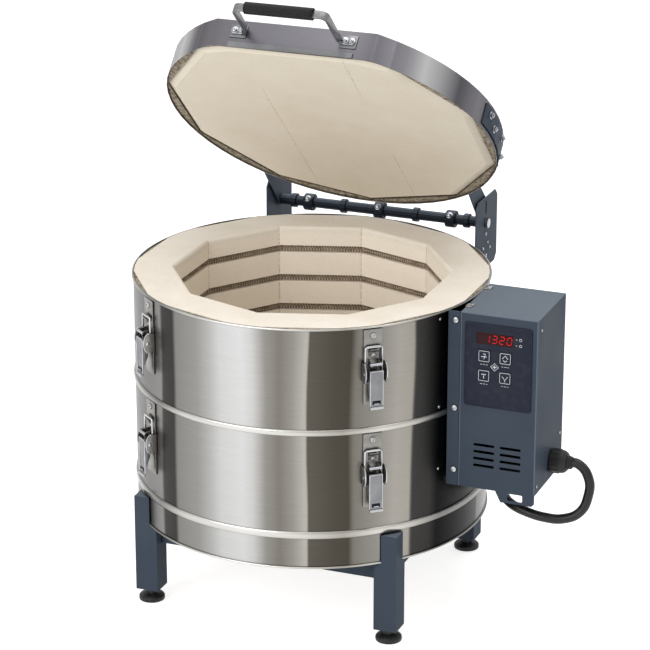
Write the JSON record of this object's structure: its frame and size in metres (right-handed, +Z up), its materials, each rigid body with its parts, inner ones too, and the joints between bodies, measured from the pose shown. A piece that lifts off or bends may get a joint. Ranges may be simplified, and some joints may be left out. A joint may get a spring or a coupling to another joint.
{
  "type": "ceramic kiln",
  "caption": "Ten-sided top-loading firebrick kiln on a tubular stand, lid hinged open, with draw latches, a side control case and a supply cord coiled behind.",
  "frame": {"origin": "on the floor, at the middle of the kiln's footprint measured without its cord", "axes": "+Z up, front with the latches towards -Y, control case towards +X, lid hinge towards +Y"},
  "size_m": [1.0568, 1.0462, 1.3371],
  "materials": {
    "firebrick": "rough, porous",
    "stainless_sheet": "brushed upright",
    "bright_steel": "polished",
    "blue_grey_paint": "fine texture, satin",
    "dark_paint": "satin",
    "black_rubber": "matt",
    "element_wire": "oxidised wire",
    "keypad_film": "satin film",
    "display_red": "gloss window",
    "probe_ceramic": "matt",
    "board_green": "satin",
    "relay_case": "satin",
    "core_steel": "varnished steel",
    "terminal_moulding": "matt"
  },
  "bodies": {
    "kiln": {"control_case": "blue_grey_paint", "control_panel": "blue_grey_paint", "controller_board": "board_green", "cord_coil": "black_rubber", "cord_gland": "black_rubber", "cord_plug": "black_rubber", "cord_run": "black_rubber", "display_window": "display_red", "floor_band": "stainless_sheet", "floor_slab": "firebrick", "hinge_plate_left": "blue_grey_paint", "hinge_plate_right": "blue_grey_paint", "hinge_rod": "bright_steel", "hinge_tube": "dark_paint", "keypad_overlay": "keypad_film", "latch_plate_lower_left": "bright_steel", "latch_plate_lower_right": "bright_steel", "latch_plate_upper_left": "bright_steel", "latch_plate_upper_right": "bright_steel", "lower_brick_ring": "firebrick", "lower_element_1": "element_wire", "lower_element_2": "element_wire", "lower_element_3": "element_wire", "lower_jacket": "stainless_sheet", "relay": "relay_case", "stand_frame_left": "blue_grey_paint", "stand_frame_right": "blue_grey_paint", "stand_rail_back": "blue_grey_paint", "stand_rail_front": "blue_grey_paint", "terminal_block": "terminal_moulding", "thermocouple": "probe_ceramic", "transformer": "core_steel", "upper_brick_ring": "firebrick", "upper_element_1": "element_wire", "upper_element_2": "element_wire", "upper_element_3": "element_wire", "upper_jacket": "stainless_sheet"},
    "lid": {"lid_slab": "firebrick", "lid_band": "stainless_sheet", "lid_lip": "bright_steel", "lid_handle": "bright_steel", "handle_grip": "black_rubber", "lid_arm_left": "blue_grey_paint", "lid_arm_right": "blue_grey_paint"},
    "lever_lower_left": {"latch_lever_lower_left": "bright_steel"},
    "bail_lower_left": {"latch_bail_lower_left": "bright_steel"},
    "lever_lower_right": {"latch_lever_lower_right": "bright_steel"},
    "bail_lower_right": {"latch_bail_lower_right": "bright_steel"},
    "lever_upper_left": {"latch_lever_upper_left": "bright_steel"},
    "bail_upper_left": {"latch_bail_upper_left": "bright_steel"},
    "lever_upper_right": {"latch_lever_upper_right": "bright_steel"},
    "bail_upper_right": {"latch_bail_upper_right": "bright_steel"},
    "key_upper_left": {"key_upper_left": "keypad_film"},
    "key_upper_right": {"key_upper_right": "keypad_film"},
    "key_lower_left": {"key_lower_left": "keypad_film"},
    "key_lower_right": {"key_lower_right": "keypad_film"},
    "foot_front_left": {"leveling_foot_front_left": "black_rubber"},
    "foot_front_right": {"leveling_foot_front_right": "black_rubber"},
    "foot_back_left": {"leveling_foot_back_left": "black_rubber"},
    "foot_back_right": {"leveling_foot_back_right": "black_rubber"}
  },
  "joints": [
    {"name": "lid_hinge_joint", "type": "hinge", "parent": "kiln", "child": "lid", "pos_m": [-0.1035, 0.36285, 0.7249], "axis": [1, 0, 0], "range_deg": [-45, 43]},
    {"name": "lever_lower_left_hinge", "type": "hinge", "parent": "kiln", "child": "lever_lower_left", "pos_m": [-0.36467, -0.35948, 0.3928], "axis": [-0.7581, 0.6521, 0], "range_deg": [0, 90]},
    {"name": "bail_lower_left_hinge", "type": "hinge", "parent": "lever_lower_left", "child": "bail_lower_left", "pos_m": [-0.35893, -0.35281, 0.3698], "axis": [-0.7581, 0.6521, 0], "range_deg": [-95, 5]},
    {"name": "lever_lower_right_hinge", "type": "hinge", "parent": "kiln", "child": "lever_lower_right", "pos_m": [0.15766, -0.35948, 0.3928], "axis": [-0.7581, -0.6521, 0], "range_deg": [0, 90]},
    {"name": "bail_lower_right_hinge", "type": "hinge", "parent": "lever_lower_right", "child": "bail_lower_right", "pos_m": [0.15193, -0.35281, 0.3698], "axis": [-0.7581, -0.6521, 0], "range_deg": [-95, 5]},
    {"name": "lever_upper_left_hinge", "type": "hinge", "parent": "kiln", "child": "lever_upper_left", "pos_m": [-0.36467, -0.35948, 0.6214], "axis": [-0.7581, 0.6521, 0], "range_deg": [0, 90]},
    {"name": "bail_upper_left_hinge", "type": "hinge", "parent": "lever_upper_left", "child": "bail_upper_left", "pos_m": [-0.35893, -0.35281, 0.5984], "axis": [-0.7581, 0.6521, 0], "range_deg": [-95, 5]},
    {"name": "lever_upper_right_hinge", "type": "hinge", "parent": "kiln", "child": "lever_upper_right", "pos_m": [0.15766, -0.35948, 0.6214], "axis": [-0.7581, -0.6521, 0], "range_deg": [0, 90]},
    {"name": "bail_upper_right_hinge", "type": "hinge", "parent": "lever_upper_right", "child": "bail_upper_right", "pos_m": [0.15193, -0.35281, 0.5984], "axis": [-0.7581, -0.6521, 0], "range_deg": [-95, 5]},
    {"name": "key_upper_left_slide", "type": "slide", "parent": "kiln", "child": "key_upper_left", "axis": [0, 1, 0], "range_m": [0, 0.001], "stiffness_N_per_m": 500},
    {"name": "key_upper_right_slide", "type": "slide", "parent": "kiln", "child": "key_upper_right", "axis": [0, 1, 0], "range_m": [0, 0.001], "stiffness_N_per_m": 500},
    {"name": "key_lower_left_slide", "type": "slide", "parent": "kiln", "child": "key_lower_left", "axis": [0, 1, 0], "range_m": [0, 0.001], "stiffness_N_per_m": 500},
    {"name": "key_lower_right_slide", "type": "slide", "parent": "kiln", "child": "key_lower_right", "axis": [0, 1, 0], "range_m": [0, 0.001], "stiffness_N_per_m": 500},
    {"name": "foot_front_left_screw", "type": "hinge", "parent": "kiln", "child": "foot_front_left", "pos_m": [-0.3801, -0.31045, 0.05], "axis": [0, 0, 1], "continuous": true},
    {"name": "foot_front_right_screw", "type": "hinge", "parent": "kiln", "child": "foot_front_right", "pos_m": [0.1731, -0.31045, 0.05], "axis": [0, 0, 1], "continuous": true},
    {"name": "foot_back_left_screw", "type": "hinge", "parent": "kiln", "child": "foot_back_left", "pos_m": [-0.3801, 0.19875, 0.05], "axis": [0, 0, 1], "continuous": true},
    {"name": "foot_back_right_screw", "type": "hinge", "parent": "kiln", "child": "foot_back_right", "pos_m": [0.1731, 0.19875, 0.05], "axis": [0, 0, 1], "continuous": true}
  ],
  "couplings": [
    {"joint": "bail_lower_left_hinge", "follows": "lever_lower_left_hinge", "ratio": -1},
    {"joint": "bail_lower_right_hinge", "follows": "lever_lower_right_hinge", "ratio": -1},
    {"joint": "bail_upper_left_hinge", "follows": "lever_upper_left_hinge", "ratio": -1},
    {"joint": "bail_upper_right_hinge", "follows": "lever_upper_right_hinge", "ratio": -1}
  ]
}
